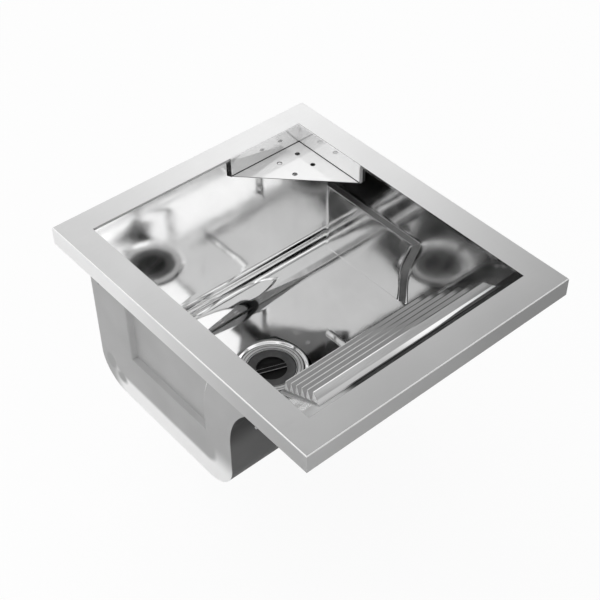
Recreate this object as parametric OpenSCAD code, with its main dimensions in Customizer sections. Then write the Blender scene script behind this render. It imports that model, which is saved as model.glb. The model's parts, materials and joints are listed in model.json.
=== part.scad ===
// Built-in laundry sink with washboard shelf, corner soap dish and basket waste.
// Millimetres, +Z up. X runs left to right, Y front to back.
// Z = 0 is the underside of the rim, which rests on the cabinet.

/* [Rim] */
// outer width of the rim, left to right
rim_w = 510; // [506:1:516]
// outer depth of the rim, front to back
rim_d = 600; // [596:1:606]
// height of the turned-down edge
rim_h = 33; // [31:1:36]
// thickness of the steel sheet
sheet_t = 1.2; // [1:0.1:1.4]
// width of the deck beside the bowl
border_side = 46; // [44:1:48]
// width of the deck in front of the bowl
border_front = 48; // [46:1:50]
// width of the deck behind the bowl
border_back = 45; // [44:1:46]
// radius along the outer top edges
edge_r = 2; // [1.6:0.1:2.4]
// width of the folded return under the rim
hem_w = 14; // [12:1:15]
// depth of the turned-down lip round the opening
lip_h = 5; // [4:0.5:7]
// distance from the front edge at which the side lips start
lip_start = 6; // [4:1:10]

/* [Bowl] */
// distance from the opening to the outer face of a side of the bowl
side_gap = 6; // [4:0.5:8]
// depth of the bowl under the rim, outside
bowl_depth = 304; // [296:1:312]
// distance from the opening to the outer face of the back wall
back_gap = 22; // [20:0.5:24]
// position of the front wall in front of the middle, outside
front_y = 76; // [73:1:80]
// radius between the floor and the back wall
back_r = 60; // [55:1:66]
// radius between the floor and the front wall
toe_r = 62; // [56:1:66]
// radius of the bend between shelf and front wall
knee_r = 145; // [138:1:150]
// slope of the washboard shelf in degrees
shelf_tilt = 38.5; // [37.5:0.5:39]
// drop from the deck to the shelf at the front edge
shelf_drop = 1; // [0.9:0.1:1.1]
// height that cutting shapes run past a face
past = 2; // [1:0.5:3]

/* [Side emboss] */
// how far the emboss stands into the bowl
emboss_rise = 8.5; // [7:0.5:10]
// width of the sloped edge of the emboss
emboss_run = 5.5; // [5:0.5:7]
// front edge of the emboss, in front of the middle
emboss_front = 16; // [14:1:18]
// back edge of the emboss, behind the middle
emboss_back = 183; // [180:1:186]
// top edge of the emboss, under the rim
emboss_top = 47; // [45:1:50]
// bottom edge of the emboss, under the rim
emboss_low = 198; // [194:1:202]
// how far the front edge flares forward at the top
emboss_flare = 22; // [18:1:26]
// height over which the front edge flares
flare_h = 90; // [80:1:100]
// length of the straight part above the flare
flare_top = 10; // [8:1:12]
// corner radius of the emboss
emboss_r = 2; // [1.5:0.5:4]

/* [Washboard] */
// half length of the lowest ridge crest
ridge_half = 140; // [136:1:143]
// extra half length of each ridge above
ridge_step = 5.3; // [4.8:0.1:5.6]
// distance between ridges along the slope
ridge_pitch = 23.1; // [22.8:0.1:23.4]
// height of the crests over the shelf
ridge_h = 14.8; // [13:0.2:15.6]
// run of the upper face of a ridge
ridge_front = 8; // [7:0.5:9]
// run of the upper face of the topmost ridge
last_front = 21; // [19:0.5:23]
// distance of the lowest crest from the deck edge, along the slope
ridge_first = 156.3; // [155:0.5:158]
// place of the bend in the topmost front face, as a share of its run
foot_run_share = 0.52; // [0.5:0.01:0.54]
// height of that bend, as a share of the ridge's height
foot_rise_share = 0.36; // [0.34:0.01:0.38]
// widening of a ridge at each end, as a share of its run
ridge_flare_share = 0.29; // [0.25:0.01:0.33]
// width of the flat margin round the ridges
board_margin = 3; // [2:0.5:4]
// thickness of the washboard sheet
board_t = 1; // [0.8:0.1:1.2]
// inset of the hollow under a ridge
ridge_wall = 1.7; // [1.5:0.1:1.9]
// number of ridges
ridge_count = 6; // [6:1:6]

/* [Soap dish] */
// length of the dish along the back edge
dish_x = 149; // [145:1:153]
// length of the dish along the right edge
dish_y = 154.5; // [150:1:158]
// depth of the dish floor under the deck, to its upper face
dish_drop = 36; // [32:1:38]
// spacing of the drain holes in the dish
dish_hole_pitch = 39.5; // [38:0.5:41]
// distance of the first holes from the walls
dish_hole_in = 26.5; // [25:0.5:28]
// radius of the holes in the dish
dish_hole_r = 3.5; // [3:0.1:4]
// width of the folded return at the left end of the dish
dish_return = 9; // [8:1:11]
// turn of that return out of the line of the back edge, in degrees
dish_turn = 115; // [110:5:120]

/* [Waste] */
// position of the waste right of the middle
drain_x = 8; // [6:1:10]
// position of the waste behind the middle
drain_y = 98; // [95:1:100]
// radius of the drawn recess in the floor
recess_r = 60; // [59:0.5:62]
// depth of the drawn recess
recess_d = 3; // [2.5:0.1:3.5]
// radius of the waste hole in the floor
hole_r = 46.5; // [46.3:0.1:47]
// radius of the flange of the waste
flange_r = 56.5; // [56:0.1:57]
// thickness of the flange
flange_t = 1.5; // [1.3:0.1:1.7]
// outer radius of the upper cup of the waste
cup_r = 45.5; // [45.2:0.1:45.8]
// wall of the cup
cup_t = 1.5; // [1.3:0.1:1.7]
// depth of the upper cup under the flange
throat_h = 12; // [11:0.5:13]
// outer radius of the lower cup
bowl_cup_r = 38.5; // [38:0.1:39]
// height of the whole cup
cup_h = 52; // [50:1:55]
// outer radius of the outlet spigot
spigot_r = 23; // [22.8:0.1:23.4]
// bore radius of the outlet
outlet_r = 18.5; // [18:0.1:18.8]
// length of the outlet spigot
spigot_h = 22; // [20:1:24]
// outer radius of the tailpiece
tail_r = 20; // [19.8:0.1:20.2]
// wall of the tailpiece
tail_t = 1.5; // [1.3:0.1:1.8]
// length of the tailpiece
tail_h = 52; // [48:1:60]
// radius of the collar on the tailpiece
collar_r = 23; // [22.8:0.1:23.4]
// thickness of the collar
collar_t = 2; // [1.8:0.1:2.4]
// length of the narrower neck under the collar
neck_h = 5; // [4.5:0.1:6]
// how much smaller the radius of the neck is
neck_in = 0.4; // [0.3:0.1:0.6]
// thickness of the upper gasket
gasket_top_t = 1; // [0.8:0.1:1.2]
// thickness of the lower gasket
gasket_low_t = 3; // [2.5:0.1:3.5]
// thickness of the friction washer
friction_t = 1; // [0.8:0.1:1.2]
// outer radius of the gaskets
gasket_r = 55; // [54.5:0.1:55.5]
// body radius of the lock nut
nut_r = 51.5; // [51:0.1:52]
// height of the lock nut
nut_h = 9; // [8:0.5:10]
// reach of the lugs on the lock nut
lug_r = 57; // [56:0.5:58]
// width of a lug
lug_w = 10; // [9:0.5:12]
// number of lugs
lug_count = 6; // [4:1:8]
// running gap between parts that slide or screw together
play = 0.3; // [0.25:0.05:0.4]
// outer radius of the coupling nut
coupling_r = 29; // [28:0.5:30]
// wall of the foot of the coupling nut
coupling_t = 3; // [2.5:0.1:3.5]
// height of the coupling nut
coupling_h = 20; // [18:1:21]
// number of grip ribs on the coupling nut
rib_count = 12; // [8:1:16]
// radius of a grip rib
rib_r = 1.6; // [1.4:0.1:1.8]

/* [Basket and plug] */
// radius of the basket rim
basket_rim_r = 42.5; // [42:0.1:43]
// radius of the basket cup
basket_r = 35.5; // [35:0.1:36]
// depth of the basket cup
basket_h = 27; // [25:1:29]
// thickness of the basket sheet
basket_t = 1; // [0.8:0.1:1.2]
// radius of the holes in the basket
basket_hole_r = 2; // [1.6:0.1:2.2]
// number of holes in the inner ring
holes_inner = 8; // [6:1:8]
// number of holes in the outer ring
holes_outer = 16; // [12:1:16]
// radius of the inner ring of holes
ring_inner = 14; // [13:0.5:15]
// radius of the outer ring of holes
ring_outer = 26; // [25:0.5:27]
// thickness of the seal under the basket rim
seal_t = 2; // [1.8:0.1:2.4]
// radius of the plug cap
cap_r = 43; // [42.5:0.1:43.3]
// height of the plug cap
cap_h = 7; // [6.5:0.1:7.5]
// radius of the hollow in the plug cap
cap_well_r = 27; // [26:0.5:28]
// depth of the hollow in the plug cap
cap_well_h = 4.5; // [4:0.1:4.8]
// width of the grip bar
grip_w = 9; // [8:0.5:11]
// gap between the grip bar and the top of the cap
grip_low = 0.6; // [0.5:0.1:0.8]
// turn of the grip bar from the left-right line in degrees
grip_turn = -21; // [-30:1:-10]
// radius of the post
post_r = 5; // [4.5:0.1:5.5]
// radius of the foot screw head
screw_head_r = 7; // [6.5:0.1:7.5]
// height of the foot screw head
screw_head_h = 3.5; // [3:0.1:4]
// radius of the foot screw
screw_r = 2; // [1.8:0.1:2.2]
// length of the foot screw in the post
screw_in = 10; // [8:1:12]

/* [Underside] */
// width of the sound pad, left to right
pad_w = 300; // [280:5:320]
// depth of the sound pad, front to back
pad_d = 190; // [180:5:200]
// thickness of the sound pad
pad_t = 3; // [2:0.5:4]
// radius of the hole in the sound pad
pad_hole_r = 66; // [65:0.5:68]
// half length of the deck stiffeners
stiff_half = 200; // [190:5:210]
// width of the deck stiffeners
stiff_w = 24; // [20:1:26]
// height of the deck stiffeners
stiff_h = 14; // [12:1:16]
// distance of the stiffeners from the inside of the rim
stiff_in = 5; // [4:1:6]
// distance of the brackets in front of and behind the middle
bracket_y = 190; // [150:5:210]
// width of a bracket
bracket_w = 30; // [25:1:35]
// thickness of a bracket
bracket_t = 2; // [1.6:0.1:2.4]
// distance from the rim outside to the outer face of a bracket
bracket_in = 18; // [17:0.5:19]
// length of the welded leg of a bracket
bracket_leg = 15; // [12:1:16]
// drop of a bracket below the rim underside
bracket_drop = 20; // [18:1:22]
// height of the screw below the rim underside
bracket_hole_z = 11; // [10:0.5:12]
// radius of the bracket screws
fix_r = 2; // [1.8:0.1:2.2]
// length of the bracket screws under the head
fix_h = 16; // [14:1:17]
// radius of the heads of the bracket screws
fix_head_r = 4.2; // [4:0.1:4.6]
// height of the heads of the bracket screws
fix_head_h = 2.6; // [2.2:0.1:3]

/* [Hidden] */
$fn = 96;
knee_facets = 24;
pin_facets = 16;
half_w = rim_w / 2;
half_d = rim_d / 2;
under = rim_h - sheet_t;
open_x = half_w - border_side;
open_front = half_d - border_front;
open_back = half_d - border_back;
bowl_half = open_x + side_gap;
back_y = open_back + back_gap;
floor_z = -bowl_depth;
corner_y = back_y - back_r;
corner_z = floor_z + back_r;
toe_y = -front_y + toe_r;
toe_z = floor_z + toe_r;
knee_y = -front_y - knee_r;
inner_knee = knee_r + sheet_t;
shelf_z = rim_h - shelf_drop;
slope_k = tan(shelf_tilt);
knee_z = shelf_z - slope_k * (knee_y + inner_knee * sin(shelf_tilt) + open_front) - inner_knee * cos(shelf_tilt);
emboss_mid = emboss_front * 3;
ridge_rear = ridge_pitch - ridge_front;
recess_top = floor_z + sheet_t - recess_d;
recess_low = floor_z - recess_d;
flange_low = recess_top + gasket_top_t;
flange_top = flange_low + flange_t;
ledge_low = flange_low - throat_h;
ledge_top = ledge_low + cup_t;
cup_low = flange_low - cup_h;
spigot_low = cup_low - spigot_h;
gasket_z = recess_low - gasket_low_t;
friction_z = gasket_z - friction_t;
nut_z = friction_z - nut_h;
washer_t = collar_t;
collar_top = spigot_low - washer_t;
collar_low = collar_top - collar_t;
tail_low = collar_top - tail_h;
seal_top = ledge_top + seal_t;
rim_top = seal_top + basket_t;
basket_low = rim_top - basket_h;
cap_low = rim_top;
cap_top = cap_low + cap_h;
well_z = cap_top - cap_well_h;

// Y of the shelf face at height z, for the face moved in by off
function shelf_y(off, z) = knee_y + (knee_r + off) * sin(shelf_tilt)
    - (z - knee_z - (knee_r + off) * cos(shelf_tilt)) / slope_k;

// box between two corners
module span(lo, hi) {
    translate(lo)
        cube([hi[0] - lo[0], hi[1] - lo[1], hi[2] - lo[2]]);
}

// profile in Y and Z drawn out along X
module along_x(half) {
    rotate([90, 0, 90])
        linear_extrude(half * 2, center = true)
            children();
}

// profile in X and Z drawn out along Y from y0 to y1
module along_y(y0, y1) {
    translate([0, y1, 0])
        rotate([90, 0, 0])
            linear_extrude(y1 - y0)
                children();
}

// washer from z up by h
module ring(outer, inner, z, h) {
    translate([drain_x, drain_y, z])
        difference() {
            cylinder(r = outer, h = h);
            translate([0, 0, -past])
                cylinder(r = inner, h = h + past * 2);
        }
}

module disc(r, z, h) {
    translate([drain_x, drain_y, z])
        cylinder(r = r, h = h);
}

// upright section with the two upper corners rounded
module roof(half, low, top, r) {
    translate([-half, low])
        square([half * 2, top - r - low]);
    translate([-half + r, low])
        square([(half - r) * 2, top - low]);
    for (s = [-1, 1])
        translate([s * (half - r), top - r])
            circle(r = r);
}

// block with its long top edges rounded
module rim_block(in, low, top, r) {
    intersection() {
        along_x(half_w)
            roof(half_d - in, low, top, r);
        along_y(-half_d, half_d)
            roof(half_w - in, low, top, r);
    }
}

module rim_deck() {
    color([0.75, 0.76, 0.77]) {
        difference() {
            rim_block(0, 0, rim_h, edge_r);
            rim_block(sheet_t, -past, under, edge_r - sheet_t);
            span([-open_x, -open_front, 0], [open_x, open_back, rim_h + past]);
        }
        difference() {
            span([-half_w, -half_d, 0], [half_w, half_d, sheet_t]);
            span([sheet_t + hem_w - half_w, sheet_t + hem_w - half_d, -past],
                [half_w - sheet_t - hem_w, half_d - sheet_t - hem_w, sheet_t + past]);
        }
        for (s = [-1, 1])
            span([s * open_x + (s - 1) / 2 * sheet_t, lip_start - open_front, rim_h - lip_h],
                [s * open_x + (s + 1) / 2 * sheet_t, open_back + sheet_t / 2, rim_h - sheet_t / 2]);
        span([-open_x - sheet_t, open_back, rim_h - lip_h],
            [open_x + sheet_t, open_back + sheet_t, rim_h - sheet_t / 2]);
    }
}

// points on an arc round a centre, from one angle to another in n steps
function arc(centre, r, start, stop, n) = [for (i = [0 : n])
    [centre[0] + r * cos(start + i * (stop - start) / n), centre[1] + r * sin(start + i * (stop - start) / n)]];

// upright section of the bowl from front to back, moved in by off
module bowl_section(off, top) {
    difference() {
        polygon(concat(
            [[back_y - off, top], [shelf_y(off, top), top]],
            arc([knee_y, knee_z], knee_r + off, 90 - shelf_tilt, 0, knee_facets),
            [[off - front_y, floor_z + off], [back_y - off, floor_z + off]]));
        translate([-front_y - past, floor_z - past])
            square([toe_r + past, toe_r + past]);
        translate([corner_y, floor_z - past])
            square([back_r + past, back_r + past]);
    }
    translate([toe_y, toe_z])
        circle(r = toe_r - off);
    translate([corner_y, corner_z])
        circle(r = back_r - off);
}

// bent sheet that runs from the shelf round to the back wall
module bowl_band() {
    along_x(bowl_half - sheet_t)
        difference() {
            bowl_section(0, under);
            bowl_section(sheet_t, under + past);
        }
}

module bowl_wrap() {
    color([0.8, 0.8, 0.82])
        difference() {
            union() {
                intersection() {
                    bowl_band();
                    span([-bowl_half, toe_y, floor_z], [bowl_half, back_y, under]);
                }
                disc(recess_r + sheet_t, recess_low, recess_d + sheet_t);
            }
            disc(recess_r, recess_top, recess_d + past);
            disc(hole_r, recess_low - past, recess_d + sheet_t + past);
        }
}

module bowl_front_panel() {
    color([0.78, 0.78, 0.8])
        intersection() {
            bowl_band();
            span([-bowl_half, -half_d, floor_z], [bowl_half, toe_y, under]);
        }
}

// short pin along X from x, at a corner of the emboss
module emboss_pin(y, z, x, t) {
    translate([x, y, z])
        rotate([0, 90, 0])
            cylinder(r = emboss_r, h = t, $fn = pin_facets);
}

// raised part of the left side panel with its foot at x
module emboss(x) {
    front = emboss_r - emboss_front;
    back = emboss_back - emboss_r;
    top = -emboss_top - emboss_r;
    low = emboss_r - emboss_low;
    bend = -emboss_top - flare_top;
    for (part = [0, 1])
        hull()
            for (in = [0, emboss_run]) {
                foot = in == 0 ? past : sheet_t / 2;
                at = x + in / emboss_run * emboss_rise - foot;
                corners = part == 0
                    ? [[front + in, low + in], [back - in, low + in], [back - in, top - in], [front + in, top - in]]
                    : [[front - emboss_flare + in, top - in], [front - emboss_flare + in, bend],
                       [front + in, bend - flare_h], [emboss_mid, bend - flare_h], [emboss_mid, top - in]];
                for (c = corners)
                    emboss_pin(c[0], c[1], at, foot);
            }
}

module side_panel_left() {
    color([0.72, 0.73, 0.74])
        difference() {
            union() {
                translate([sheet_t / 2 - bowl_half, 0, 0])
                    along_x(sheet_t / 2)
                        bowl_section(0, under);
                emboss(sheet_t - bowl_half);
            }
            emboss(-bowl_half);
            span([-bowl_half - past * 2, -half_d, floor_z], [-bowl_half, half_d, under]);
        }
}

module side_panel_right() {
    mirror([1, 0, 0])
        side_panel_left();
}

// moves a shape onto the shelf: Y down the slope, Z square to it
module on_shelf() {
    translate([0, -open_front, shelf_z])
        rotate([-shelf_tilt, 0, 0])
            children();
}

// run of the upper face of ridge number i
function ridge_run(i) = i == ridge_count - 1 ? last_front : ridge_front;

// half length of ridge number i at its upper foot
function ridge_foot(i) = ridge_half + i * ridge_step + ridge_flare_share * (ridge_run(i) + ridge_rear);

// wedge ridge number i, made smaller by in, foot at low; the topmost front face has a flatter foot
// each end is one flat cut that widens from the rear face forwards
module ridge(i, in, low) {
    crest = ridge_first - i * ridge_pitch;
    top = ridge_h - in;
    near = ridge_run(i) - in;
    far = ridge_rear - in;
    reach = ridge_half + i * ridge_step - in;
    deep = top * (near + far) / norm([far, top]);
    wide = reach + ridge_flare_share * (near + far);
    bend = i == ridge_count - 1 ? [[crest - near * foot_run_share, top * foot_rise_share]] : [];
    intersection() {
        along_x(half_w)
            polygon(concat(
                [[crest + far, 0], [crest + far, low], [crest - near, low], [crest - near, 0]],
                bend,
                [[crest, top]]));
        translate([0, crest, top])
            rotate([180 + atan2(far, top), 0, 0])
                linear_extrude(ridge_first, center = true)
                    polygon([[-reach, 0], [reach, 0], [wide, deep], [-wide, deep]]);
    }
}

module washboard() {
    board_low = ridge_first + ridge_rear + board_margin;
    board_high = ridge_first - (ridge_count - 1) * ridge_pitch - last_front - board_margin;
    low_half = ridge_foot(0) + board_margin;
    high_half = ridge_foot(ridge_count - 1) + board_margin;
    color([0.55, 0.56, 0.57])
        on_shelf()
            difference() {
                union() {
                    linear_extrude(board_t)
                        polygon([
                            [-low_half, board_low],
                            [-high_half, board_high],
                            [high_half, board_high],
                            [low_half, board_low]]);
                    for (i = [0 : ridge_count - 1])
                        ridge(i, 0, 0);
                }
                for (i = [0 : ridge_count - 1])
                    ridge(i, ridge_wall, -past);
            }
}

module soap_dish() {
    top = rim_h - sheet_t / 2;
    low = rim_h - dish_drop - sheet_t;
    hole_x = open_x - dish_hole_in;
    hole_y = open_back - dish_hole_in;
    color([0.78, 0.78, 0.79])
        difference() {
            union() {
                translate([0, 0, low])
                    linear_extrude(sheet_t)
                        polygon([
                            [open_x, open_back],
                            [open_x - dish_x, open_back],
                            [open_x, open_back - dish_y]]);
                span([open_x - dish_x, open_back - sheet_t, low], [open_x, open_back, top]);
                span([open_x - sheet_t, open_back - dish_y, low], [open_x, open_back, top]);
                span([open_x - sheet_t, open_back - dish_y, low],
                    [bowl_half - sheet_t, open_back - dish_y + sheet_t, rim_h - lip_h]);
                translate([open_x - dish_x + sheet_t, open_back - sheet_t, 0])
                    rotate(dish_turn)
                        span([0, 0, low], [dish_return, sheet_t, rim_h - lip_h]);
            }
            for (i = [0, 1])
                for (j = [0, 1])
                    translate([hole_x - i * dish_hole_pitch, hole_y - j * dish_hole_pitch, low - past])
                        cylinder(r = dish_hole_r, h = sheet_t + past * 2);
        }
}

module waste_body() {
    color([0.85, 0.85, 0.86]) {
        ring(flange_r, cup_r - cup_t, flange_low, flange_t);
        ring(cup_r, cup_r - cup_t, ledge_low, throat_h);
        ring(cup_r, bowl_cup_r - cup_t, ledge_low, cup_t);
        ring(bowl_cup_r, bowl_cup_r - cup_t, cup_low, cup_h - throat_h);
        ring(bowl_cup_r, outlet_r, cup_low, cup_t);
    }
}

module outlet_spigot() {
    color([0.8, 0.8, 0.81])
        ring(spigot_r, outlet_r, spigot_low, spigot_h);
}

module waste_gasket_top() {
    color([0.15, 0.15, 0.15])
        ring(gasket_r, hole_r, recess_top, gasket_top_t);
}

module waste_gasket_bottom() {
    color([0.12, 0.12, 0.12])
        ring(gasket_r, cup_r + play, gasket_z, gasket_low_t);
}

module friction_washer() {
    color([0.75, 0.68, 0.52])
        ring(gasket_r, cup_r + play, friction_z, friction_t);
}

module lock_nut() {
    nut_bore = bowl_cup_r + play;
    color([0.7, 0.7, 0.72])
        difference() {
            union() {
                disc(nut_r, nut_z, nut_h);
                for (i = [0 : lug_count - 1])
                    translate([drain_x, drain_y, nut_z])
                        rotate(i * 360 / lug_count)
                            span([0, -lug_w / 2, 0], [lug_r, lug_w / 2, nut_h]);
            }
            disc(nut_bore, nut_z - past, nut_h + past * 2);
            disc(cup_r + play, ledge_low - play, nut_h * 2);
        }
}

module tailpiece() {
    color([0.84, 0.84, 0.85]) {
        ring(collar_r, tail_r - tail_t, collar_low, collar_t);
        ring(tail_r - neck_in, tail_r - tail_t, collar_low - neck_h, neck_h);
        ring(tail_r, tail_r - tail_t, tail_low, tail_h - collar_t - neck_h);
    }
}

module tailpiece_washer() {
    color([0.9, 0.9, 0.88])
        ring(collar_r, outlet_r, collar_top, washer_t);
}

module coupling_nut() {
    nut_low = collar_low - coupling_t;
    color([0.8, 0.8, 0.82])
        difference() {
            union() {
                disc(coupling_r - rib_r, nut_low, coupling_h);
                for (i = [0 : rib_count - 1])
                    translate([drain_x, drain_y, nut_low])
                        rotate(i * 360 / rib_count)
                            translate([coupling_r - rib_r, 0, 0])
                                cylinder(r = rib_r, h = coupling_h);
            }
            disc(spigot_r + play, collar_low, coupling_h);
            disc(tail_r + play, nut_low - past, coupling_t + past * 2);
        }
}

module basket() {
    color([0.82, 0.82, 0.83])
        difference() {
            union() {
                disc(basket_rim_r, seal_top, basket_t);
                disc(basket_r, basket_low, basket_h);
            }
            disc(basket_r - basket_t, basket_low + basket_t, basket_h);
            for (i = [0 : holes_inner - 1])
                translate([drain_x, drain_y, basket_low - past])
                    rotate(i * 360 / holes_inner)
                        translate([ring_inner, 0, 0])
                            cylinder(r = basket_hole_r, h = basket_t + past * 2);
            for (i = [0 : holes_outer - 1])
                translate([drain_x, drain_y, basket_low - past])
                    rotate(i * 360 / holes_outer)
                        translate([ring_outer, 0, 0])
                            cylinder(r = basket_hole_r, h = basket_t + past * 2);
            disc(screw_r, basket_low - past, basket_t + past * 2);
        }
}

module basket_seal() {
    color([0.1, 0.1, 0.1])
        ring(basket_rim_r, basket_r + basket_t, ledge_top, seal_t);
}

module basket_post() {
    color([0.75, 0.75, 0.76])
        difference() {
            disc(post_r, basket_low + basket_t, basket_h - basket_t);
            disc(screw_r, basket_low, screw_in);
        }
}

module plug_cap() {
    color([0.16, 0.16, 0.17]) {
        difference() {
            disc(cap_r, cap_low, cap_h);
            disc(cap_well_r, well_z, cap_well_h + past);
        }
        translate([drain_x, drain_y, 0])
            rotate(grip_turn)
                span([-cap_well_r - grip_low, -grip_w / 2, well_z - grip_low],
                    [cap_well_r + grip_low, grip_w / 2, cap_top - grip_low]);
    }
}

module post_screw() {
    color([0.6, 0.6, 0.62]) {
        disc(screw_head_r, basket_low - screw_head_h, screw_head_h);
        disc(screw_r, basket_low - screw_head_h, screw_head_h + screw_in);
    }
}

module sound_pad() {
    color([0.2, 0.2, 0.21])
        difference() {
            span([drain_x - pad_w / 2, drain_y - pad_d / 2, floor_z - pad_t],
                [drain_x + pad_w / 2, drain_y + pad_d / 2, floor_z]);
            disc(pad_hole_r, floor_z - pad_t - past, pad_t + past * 2);
        }
}

module stiffener() {
    difference() {
        span([-stiff_half, 0, under - stiff_h], [stiff_half, stiff_w, under]);
        span([-stiff_half - past, sheet_t, under - stiff_h - past],
            [stiff_half + past, stiff_w - sheet_t, under - sheet_t]);
    }
}

module deck_stiffeners() {
    start = half_d - sheet_t - stiff_in;
    color([0.65, 0.66, 0.68]) {
        translate([0, -start, 0])
            stiffener();
        difference() {
            translate([0, start, 0])
                mirror([0, 1, 0])
                    stiffener();
            span([-half_w, 0, 0], [half_w, back_y + play, under + past]);
        }
    }
}

// places a shape that faces right at all four brackets
module four_brackets() {
    for (s = [0, 1])
        for (y = [-bracket_y, bracket_y])
            mirror([s, 0, 0])
                translate([half_w - bracket_in, y, 0])
                    children();
}

module fixing_brackets() {
    color([0.62, 0.63, 0.65])
        four_brackets()
            difference() {
                union() {
                    span([-bracket_t, -bracket_w / 2, -bracket_drop], [0, bracket_w / 2, under]);
                    span([-bracket_leg, -bracket_w / 2, under - bracket_t], [0, bracket_w / 2, under]);
                }
                translate([-bracket_t - past, 0, -bracket_hole_z])
                    rotate([0, 90, 0])
                        cylinder(r = fix_r + play, h = bracket_t + past * 2);
            }
}

module bracket_screws() {
    color([0.7, 0.68, 0.6])
        four_brackets()
            translate([-bracket_t, 0, -bracket_hole_z])
                rotate([0, 90, 0]) {
                    cylinder(r = fix_r, h = fix_h);
                    translate([0, 0, -fix_head_h])
                        cylinder(r = fix_head_r, h = fix_head_h);
                }
}

rim_deck();
bowl_wrap();
bowl_front_panel();
side_panel_left();
side_panel_right();
washboard();
soap_dish();
waste_body();
outlet_spigot();
waste_gasket_top();
waste_gasket_bottom();
friction_washer();
lock_nut();
tailpiece();
tailpiece_washer();
coupling_nut();
basket();
basket_seal();
basket_post();
plug_cap();
post_screw();
sound_pad();
deck_stiffeners();
fixing_brackets();
bracket_screws();
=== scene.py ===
# Looks of a built-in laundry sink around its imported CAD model. Metres, row frame.
import json
import math
import bmesh
import bpy
from mathutils import Matrix, Vector


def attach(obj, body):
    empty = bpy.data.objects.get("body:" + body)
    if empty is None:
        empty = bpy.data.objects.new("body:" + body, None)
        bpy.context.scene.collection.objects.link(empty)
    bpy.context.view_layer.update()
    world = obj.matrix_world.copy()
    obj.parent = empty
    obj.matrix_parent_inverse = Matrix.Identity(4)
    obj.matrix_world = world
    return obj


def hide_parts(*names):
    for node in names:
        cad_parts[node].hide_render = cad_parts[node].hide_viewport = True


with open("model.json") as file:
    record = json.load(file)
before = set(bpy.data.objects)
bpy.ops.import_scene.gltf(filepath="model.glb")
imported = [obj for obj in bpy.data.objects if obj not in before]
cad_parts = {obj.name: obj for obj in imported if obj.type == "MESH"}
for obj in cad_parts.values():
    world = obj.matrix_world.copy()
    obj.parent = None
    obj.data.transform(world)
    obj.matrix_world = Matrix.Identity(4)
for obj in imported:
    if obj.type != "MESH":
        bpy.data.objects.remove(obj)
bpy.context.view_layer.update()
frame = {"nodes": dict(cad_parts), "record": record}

scene = bpy.context.scene
MM = 0.001

# Edges sharper than these angles stay sharp, in degrees
EDGE_ANGLE = 32
SHEET_SHARP = 40
# Neighbouring faces flatter than this become one, in degrees
FLAT_ANGLE = 0.6
# Points nearer than this become one, in metres
CAD_MERGE = 2e-6

# Strength of each finer layer of a noise beside the one before
LAYER_SHARE = 0.55


def grey(v):
    """The same value for red, green and blue."""
    return (v, v, v)


# Node maths

class Num:
    """A number inside a material's node tree, with ordinary arithmetic."""

    def __init__(self, tree, socket):
        self.t = tree
        self.s = socket

    def op(self, kind, *others):
        n = self.t.nodes.new("ShaderNodeMath")
        n.operation = kind
        self.t.links.new(self.s, n.inputs[0])
        for i, v in enumerate(others, 1):
            if isinstance(v, Num):
                self.t.links.new(v.s, n.inputs[i])
            else:
                n.inputs[i].default_value = v
        return Num(self.t, n.outputs[0])

    def __add__(self, o):
        return self.op("ADD", o)

    def __sub__(self, o):
        return self.op("SUBTRACT", o)

    def __mul__(self, o):
        return self.op("MULTIPLY", o)

    def __truediv__(self, o):
        return self.op("DIVIDE", o)

    def inv(self):
        """One minus this number."""
        return self.op("MULTIPLY_ADD", -1.0, 1.0)

    def abs(self):
        return self.op("ABSOLUTE")

    def ramp(self, a, b, lo=0.0, hi=1.0):
        """Smooth change from lo at a to hi at b."""
        n = self.t.nodes.new("ShaderNodeMapRange")
        n.interpolation_type = "SMOOTHSTEP"
        self.t.links.new(self.s, n.inputs[0])
        flip = a > b
        if flip:
            a, b, lo, hi = b, a, hi, lo
        for i, v in zip((1, 2, 3, 4), (a, b, lo, hi)):
            n.inputs[i].default_value = v
        return Num(self.t, n.outputs[0])

    def mix(self, o, k):
        """This number where k is 0, the other where k is 1."""
        n = self.t.nodes.new("ShaderNodeMix")
        n.data_type = "FLOAT"
        self.t.links.new(k.s, n.inputs[0])
        self.t.links.new(self.s, n.inputs[2])
        if isinstance(o, Num):
            self.t.links.new(o.s, n.inputs[3])
        else:
            n.inputs[3].default_value = o
        return Num(self.t, n.outputs[0])


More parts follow.
